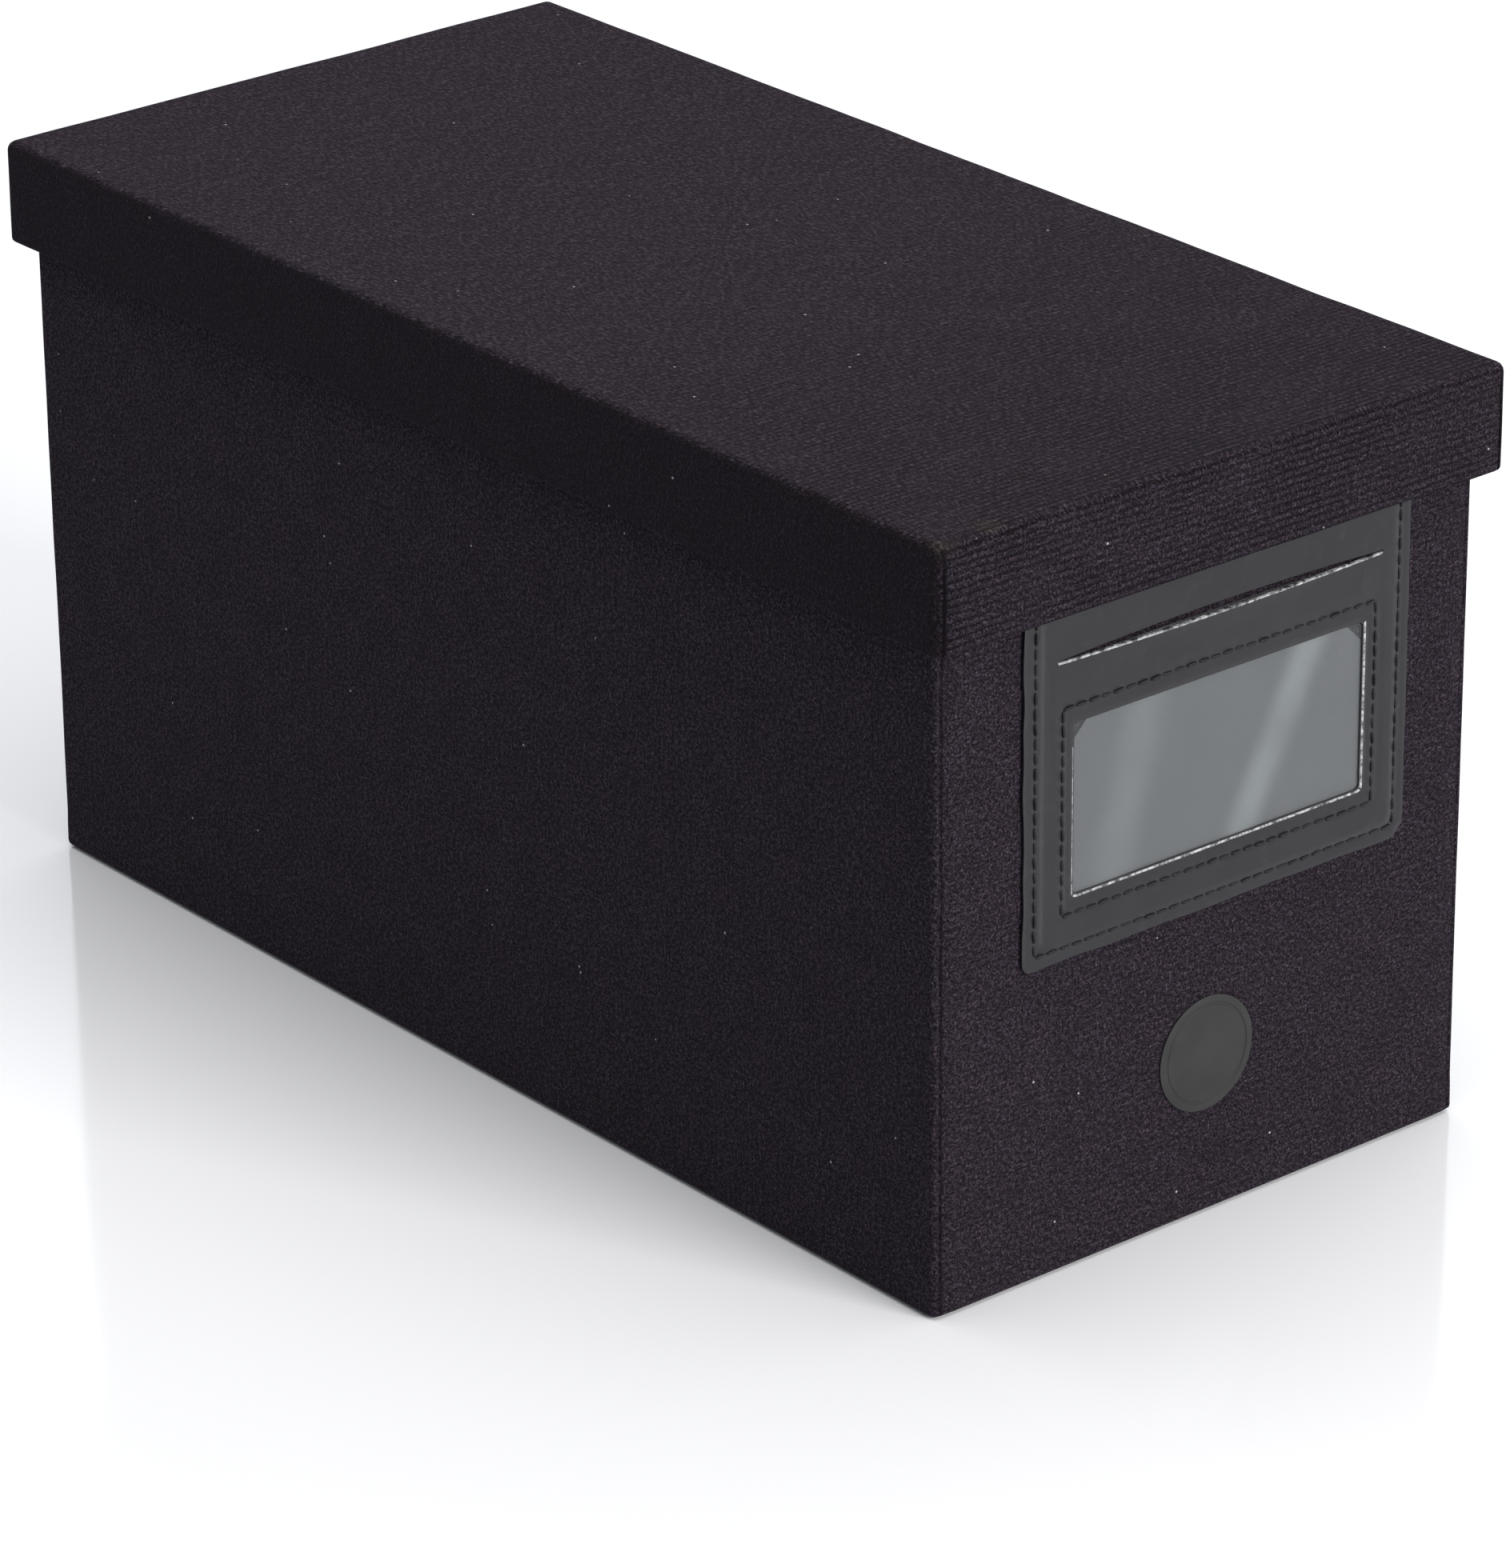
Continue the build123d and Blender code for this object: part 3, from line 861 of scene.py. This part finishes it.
base_wrap_velour = model_base_shell()
front_panel_velour = split_front_panel(base_wrap_velour)
for cloth, style, node, velour in (
    (base_wrap_velour, "wrap", "base_wrap_cover", BASE_VELOUR),
    (front_panel_velour, "panel", "base_front_cover", PANEL_VELOUR),
):
    for axis in range(3):
        cut_along(cloth, axis, 4 * MM)
    settle(cloth, 60 * MM, 0.3 * MM, BASE_LOW.z + 4 * MM)
    tuck_seams(cloth)
    lay_cloth(cloth, BASE_LOW, BASE_HIGH, style)
    thicken(cloth, CLOTH)
    smooth(cloth, 50)
    finish_piece(cloth, velour, "base", node)

# %% [markdown]
# ## The label pocket
# The pocket is one sheet of imitation leather with a window and a slot cut in it. It is sewn
# down all round by an outer seam, and an inner seam holds the film behind the window. The
# sheet is modelled from the outside in: a flat plate with rounded corners is inset again and
# again, and each new, smaller outline is moved to where the sheet steps up or is pulled down
# by a seam. The last outline is the window, so its face is deleted. The slot is a narrow
# strip of faces that is deleted too, and its two lips are then bent apart.

# %% Model the label pocket
pocket_low, pocket_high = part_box("label_frame")
window_low, window_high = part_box("label_window_film")
POCKET_X = (pocket_low.x + pocket_high.x) / 2
FACE_Y = BASE_LOW.y
LEATHER_SHEET = 0.6 * MM
SLOT_Z, SLOT_HALF = 146.4 * MM, 46.8 * MM
# Outlines on the front, each a width, a height and the height of its middle.
BORDER = (112.6 * MM, 85.7 * MM, 118.65 * MM)
WINDOW = (84.6 * MM, 40.0 * MM, 111.0 * MM)
OUTER_SEAM = (106.2 * MM, 79.3 * MM, 118.65 * MM)
INNER_SEAM = (91.6 * MM, 48.4 * MM, 111.0 * MM)


def grown(outline, by):
    """An outline of width, height and middle height, made wider all round."""
    return (outline[0] + 2 * by, outline[1] + 2 * by, outline[2])


def add_outline(outline, corner, stand_off):
    """A flat plate that faces the front, with rounded corners."""
    wake(camera)
    place_at = (POCKET_X, FACE_Y - stand_off, outline[2])
    bpy.ops.mesh.primitive_plane_add(size=1, location=place_at, rotation=(math.pi / 2, 0, 0))
    plate = bpy.context.object
    plate.scale = (outline[0], outline[1], 1)
    bpy.ops.object.transform_apply(location=True, rotation=True, scale=True)
    pick(plate, "VERT", lambda point: True)
    bpy.ops.mesh.bevel(offset=corner, segments=4, affect="VERTICES")
    bpy.context.tool_settings.mesh_select_mode = DOMAINS["FACE"]
    bpy.ops.mesh.select_all(action="SELECT")
    return plate


def step_inwards(old, new, rise):
    """Insets the chosen face, then sizes and moves it to the next outline."""
    tiny = 0.02 * MM
    bpy.ops.mesh.inset(thickness=tiny, depth=0)
    scale = (new[0] / (old[0] - 2 * tiny), 1, new[1] / (old[1] - 2 * tiny))
    bpy.ops.transform.resize(value=scale, center_override=(POCKET_X, FACE_Y, old[2]))
    bpy.ops.transform.translate(value=(0, -rise, new[2] - old[2]))


# From the border to the window: each outline, and how far it stands off in millimetres.
POCKET_STEPS = [
    (BORDER, 0.84),
    (grown(OUTER_SEAM, 2.4 * MM), 0.96),
    (grown(OUTER_SEAM, 0.70 * MM), 0.96),
    (grown(OUTER_SEAM, 0.25 * MM), 0.78),
    (grown(OUTER_SEAM, -0.25 * MM), 0.78),
    (grown(OUTER_SEAM, -0.70 * MM), 1.22),
    (grown(OUTER_SEAM, -2.4 * MM), 1.33),
    ((99.4 * MM, 62.4 * MM, SLOT_Z - 31.0 * MM), 1.40),
    ((99.0 * MM, 61.4 * MM, SLOT_Z - 30.9 * MM), 1.41),
    ((98.4 * MM, 60.6 * MM, SLOT_Z - 31.0 * MM), 1.42),
    (grown(INNER_SEAM, 0.7 * MM), 1.52),
    (grown(INNER_SEAM, 0.25 * MM), 1.34),
    (grown(INNER_SEAM, -0.25 * MM), 1.34),
    (grown(INNER_SEAM, -0.7 * MM), 1.52),
    (grown(WINDOW, 1.5 * MM), 1.46),
    (grown(WINDOW, 0.70 * MM), 1.36),
    (grown(WINDOW, 0.28 * MM), 1.12),
    (WINDOW, 1.07),
]


def cut_slot(pocket):
    """Takes out the narrow strip of the slot, and bends its lips apart."""

    def in_slot(middle, normal):
        return near(middle.z, SLOT_Z, 0.1 * MM) and abs(middle.x - POCKET_X) < SLOT_HALF

    pick(pocket, "FACE", in_slot)
    bpy.ops.mesh.delete(type="FACE")
    bpy.ops.object.mode_set(mode="OBJECT")
    for vertex in pocket.data.vertices:
        along = (vertex.co.x - POCKET_X) / SLOT_HALF
        bow = max(0.0, 1 - along**2)
        up = vertex.co.z - SLOT_Z
        fall = max(0.0, 1 - abs(up) / (7 * MM)) ** 2
        if up > 0:
            vertex.co += Vector((0, -0.10, 1.35)) * MM * bow * fall
        elif vertex.co.z > INNER_SEAM[2] + INNER_SEAM[1] / 2 + 1 * MM:
            vertex.co += Vector((0, -0.80, -0.45)) * MM * bow * fall


def shape_border(pocket):
    """Makes the hand-cut border a little uneven, and clips its lower right corner."""
    half = (BORDER[0] / 2, BORDER[1] / 2)
    for vertex in pocket.data.vertices:
        x, z = vertex.co.x - POCKET_X, vertex.co.z - BORDER[2]
        if half[0] - abs(x) < 0.9 * MM or half[1] - abs(z) < 0.9 * MM:
            wave = noise.noise_vector(vertex.co / (9 * MM)) * 0.45 * MM
            vertex.co.x += wave.x
            vertex.co.z += wave.z
            beyond = x - z - (half[0] + half[1] - 3.2 * MM)
            if beyond > 0:
                vertex.co.x -= beyond / 2
                vertex.co.z += beyond / 2


def model_pocket():
    """The leather sheet of the label pocket."""
    pocket = add_outline(BORDER, 2.5 * MM, POCKET_STEPS[0][1] * MM)
    for (old, low_at), (new, high_at) in zip(POCKET_STEPS, POCKET_STEPS[1:]):
        step_inwards(old, new, (high_at - low_at) * MM)
    bpy.ops.mesh.delete(type="FACE")
    bpy.ops.object.mode_set(mode="OBJECT")
    pocket.name = "label_pocket"
    cut_along(pocket, 0, 3 * MM)
    cut_along(pocket, 2, 3 * MM)
    cut_slot(pocket)
    shape_border(pocket)
    return pocket


label_pocket = model_pocket()
label_pocket.data.materials.append(LEATHER)
label_pocket.data.materials.append(RAW_EDGE_HIGHLIGHT)
thicken(label_pocket, LEATHER_SHEET, 1)


def is_edge_highlight(face):
    """True where the pale edge is painted as a highlight: the slot's lower lip, and the window's
    sunken rim, on the sides that face the light.
    """
    x, z = face.center.x - POCKET_X, face.center.z
    # Painted highlight: on the slot, only faces that point upwards are pale.
    if abs(x) < SLOT_HALF and abs(z - SLOT_Z) < 2.5 * MM and face.material_index == 1:
        return face.normal.z > 0.3
    heights = [label_pocket.data.vertices[k].co.z for k in face.vertices]
    if abs(x) < SLOT_HALF and SLOT_Z - 1.6 * MM < z < SLOT_Z - 0.1 * MM:
        return max(heights) - min(heights) < 1.0 * MM
    ring_x = abs(x) - WINDOW[0] / 2
    ring_z = abs(z - WINDOW[2]) - WINDOW[1] / 2
    on_rim = 0.28 * MM < max(ring_x, ring_z) < 0.70 * MM
    # Painted highlight: the rim is pale only along its bottom, its right side and most of its left
    # side, where light catches it.
    lit = z < WINDOW[2] - WINDOW[1] / 2 or x > WINDOW[0] / 2
    lit = lit or (x < 0 and z < WINDOW[2] + 15 * MM)
    return on_rim and lit and face.center.y < FACE_Y - 0.9 * MM


for face in label_pocket.data.polygons:
    face.material_index = 1 if is_edge_highlight(face) else 0
smooth(label_pocket, 50)
finish_piece(label_pocket, LEATHER, "base", "label_frame")

# %% [markdown]
# ## The stitches
# A lockstitch shows as short arches of thread that dip into the leather at both ends. One
# stitch is modelled as a thin rod, bent and tapered, and copied along each seam. Every copy
# is shifted and turned by a hair, so that the seam looks sewn and not printed.

# %% Model one stitch and sew both seams
STITCH_LENGTH, STITCH_PITCH, THREAD_RADIUS = 3.1 * MM, 3.5 * MM, 0.40 * MM
OUTER_RISE, INNER_RISE = 0.80 * MM, 1.36 * MM


def model_stitch():
    """One stitch at the origin, along X, that stands out towards the front."""
    wake(camera)
    bpy.ops.mesh.primitive_cylinder_add(
        vertices=7, radius=THREAD_RADIUS, depth=STITCH_LENGTH, rotation=(0, math.pi / 2, 0)
    )
    stitch = bpy.context.object
    bpy.ops.object.transform_apply(location=True, rotation=True, scale=True)
    cut_along(stitch, 0, 0.45 * MM)
    for vertex in stitch.data.vertices:
        t = vertex.co.x / (STITCH_LENGTH / 2)
        slim = 1 - 0.35 * t**4
        vertex.co.z *= slim
        vertex.co.y = vertex.co.y * slim - 0.12 * MM + 0.42 * MM * t**4
    smooth(stitch, 80)
    return stitch


def seam_places(outline):
    """Where each stitch of a rectangular seam goes: its middle and its angle."""
    places = []
    for along, across, turn in ((outline[0], outline[1], 0), (outline[1], outline[0], 90)):
        count = round(along / STITCH_PITCH)
        for side in (-1, 1):
            for k in range(count):
                t = (k + 0.5) / count * along - along / 2
                x, z = (t, side * across / 2) if turn == 0 else (side * across / 2, t)
                places.append((POCKET_X + x, outline[2] + z, math.radians(turn)))
    return places


def sew(name, model, places, stand_off, node, seed):
    """Copies the stitch to each place and joins the copies into one seam."""
    chance = random.Random(seed)
    copies = []
    for x, z, angle in places:
        copy = bpy.data.objects.new(name, model.data.copy())
        bpy.context.collection.objects.link(copy)
        tilt = math.radians(chance.uniform(-5, 5) - 3)
        shift = Vector([chance.uniform(-0.12, 0.12) * MM for _ in range(3)])
        at = Vector((x, FACE_Y - stand_off, z)) + shift
        copy.data.transform(Matrix.Translation(at) @ Matrix.Rotation(angle + tilt, 4, "Y"))
        copies.append(copy)
    wake(*copies)
    bpy.ops.object.join()
    seam = bpy.context.object
    seam.name = name
    finish_piece(seam, THREAD, "base", node)


one_stitch = model_stitch()
sew("outer_seam", one_stitch, seam_places(OUTER_SEAM), OUTER_RISE, "label_outer_stitching", 3)
sew("inner_seam", one_stitch, seam_places(INNER_SEAM), INNER_RISE, "label_inner_stitching", 4)
bpy.data.objects.remove(one_stitch)

# %% [markdown]
# ## The window film
# The film is a thin clear sheet behind the window. It is a plane cut into a fine grid, and
# bent by a fraction of a millimetre, because real film never lies flat and its reflections
# wander.

# %% Model the film
def model_film():
    """The clear film."""
    wake(camera)
    middle = (window_low + window_high) / 2
    place_at = (middle.x, window_low.y, middle.z)
    bpy.ops.mesh.primitive_plane_add(size=1, location=place_at, rotation=(math.pi / 2, 0, 0))
    film = bpy.context.object
    film.name = "window_film"
    film.scale = (window_high.x - window_low.x, window_high.z - window_low.z, 1)
    bpy.ops.object.transform_apply(location=True, rotation=True, scale=True)
    pick(film, "FACE", lambda place_at, normal: True)
    bpy.ops.mesh.subdivide(number_cuts=40)
    bpy.ops.object.mode_set(mode="OBJECT")
    for vertex in film.data.vertices:
        ripple = noise.noise(Vector((vertex.co.x / 0.030, 0, vertex.co.z / 0.045)))
        vertex.co.y += 0.12 * MM * (ripple - 0.2)
    thicken(film, 0.2 * MM)
    smooth(film, 60)
    return film


window_film = model_film()
finish_piece(window_film, FILM, "base", "label_window_film")

# %% [markdown]
# ## The round patch
# A plain round patch of dark rubber sits low on the front, with a flat ring round its edge.
# It starts as a thin disc. Its face is inset step by step: that softens the edge, leaves the
# flat ring, sinks a fine groove inside it, and raises the middle a little.

# %% Model the round patch
# Each inset's width and rise in millimetres.
PATCH_STEPS = ((0.12, 0.05), (1.5, 0), (0.15, -0.16), (0.5, 0), (0.15, 0.14), (5, 0.03))


def model_patch():
    """The plain patch with its ring and groove."""
    low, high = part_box("front_patch")
    middle = (low + high) / 2
    wake(camera)
    bpy.ops.mesh.primitive_cylinder_add(
        vertices=96,
        radius=(high.x - low.x) / 2,
        depth=high.y - low.y,
        location=middle,
        rotation=(math.pi / 2, 0, 0),
    )
    patch = bpy.context.object
    patch.name = "round_patch"
    bpy.ops.object.transform_apply(location=True, rotation=True, scale=True)
    pick(patch, "FACE", lambda place_at, normal: normal.y < -0.9)
    for width, rise in PATCH_STEPS:
        bpy.ops.mesh.inset(thickness=width * MM, depth=rise * MM)
    bpy.ops.object.mode_set(mode="OBJECT")
    smooth(patch, 30)
    return patch


round_patch = model_patch()
finish_piece(round_patch, RUBBER, "base", "front_patch")

# %% [markdown]
# ## Finishes for the construction pieces that show as they are
# Boards, linings, tapes and the bottom sheet are flat sheets whose shape is right already, so
# they stay, and each gets its finish.

# %% Dress the construction pieces
def dress(node, material):
    """Puts a material on a construction node."""
    mesh = NODES[node].data
    if not mesh.materials:
        mesh.materials.append(material)
    for index in range(len(mesh.materials)):
        mesh.materials[index] = material


for node in NODES:
    if node.endswith("_board"):
        dress(node, BOARD)
    elif node.endswith("_lining"):
        dress(node, LINING)
    elif node.endswith("_tapes"):
        dress(node, TAPE)
dress("base_floor_card", FLOOR_CARD)
dress("base_bottom_sheet", BOTTOM)
dress("label_card", CARD)
print("dressed the construction nodes")

# %% [markdown]
# ## The studio
# A pale, glossy floor gives the faint mirror image under the box. Two large soft lights, one
# overhead and one to the front right, leave the long left side in shade, where only the floor
# and a weak, cool sky light it. The sky is bright where it is mirrored, as a white studio
# wall is, and weak as a lamp.

# %% Build the studio
SOFT_WHITE = (1.0, 0.985, 0.97)


def add_floor():
    """The pale floor."""
    wake(camera)
    bpy.ops.mesh.primitive_plane_add(size=60, location=(0, 0, LOW.z - 0.05 * MM))
    floor = bpy.context.object
    floor.name = "studio_floor"
    bpy.ops.object.transform_apply(location=True, rotation=True, scale=True)
    material, tree, shader = new_material("studio_floor", Roughness=0.10, IOR=1.95)
    bounce = add_node(tree, "ShaderNodeLightPath").outputs["Is Diffuse Ray"]
    colour = mix_colour(tree, bounce, (0.96, 0.965, 0.985), (0.52, 0.56, 0.62))
    tree.links.new(colour, shader.inputs["Base Color"])
    floor.data.materials.append(material)
    return floor


def add_softbox(name, place_at, size, watts):
    """A square soft light that faces the box."""
    bpy.ops.object.light_add(type="AREA", location=place_at)
    light = bpy.context.object
    light.name = name
    light.data.size = size
    light.data.energy = watts
    light.data.color = SOFT_WHITE
    way = MIDDLE - Vector(place_at)
    light.rotation_mode = "QUATERNION"
    light.rotation_quaternion = way.to_track_quat("-Z", "Y")
    return light


def add_sky(colour, lamp, mirrored):
    """An even sky, with one strength as a lamp and another where it is mirrored or seen."""
    world = bpy.data.worlds.new("studio_sky")
    world.use_nodes = True
    tree = world.node_tree
    background = tree.nodes["Background"]
    path = add_node(tree, "ShaderNodeLightPath")
    shown = calc(tree, "MAXIMUM", path.outputs["Is Camera Ray"], path.outputs["Is Glossy Ray"])
    tree.links.new(remap(tree, shown, 0, 1, lamp, mirrored), background.inputs["Strength"])
    background.inputs["Color"].default_value = (*colour, 1)
    bpy.context.scene.world = world


add_floor()
add_softbox("overhead", (0.05, 0.10, 2.0), 2.6, 34)
add_softbox("front", (0.35, -2.45, 1.0), 1.2, 68)
add_sky((0.93, 0.957, 1.0), 0.40, 1.05)
bpy.context.scene.view_settings.view_transform = "Standard"
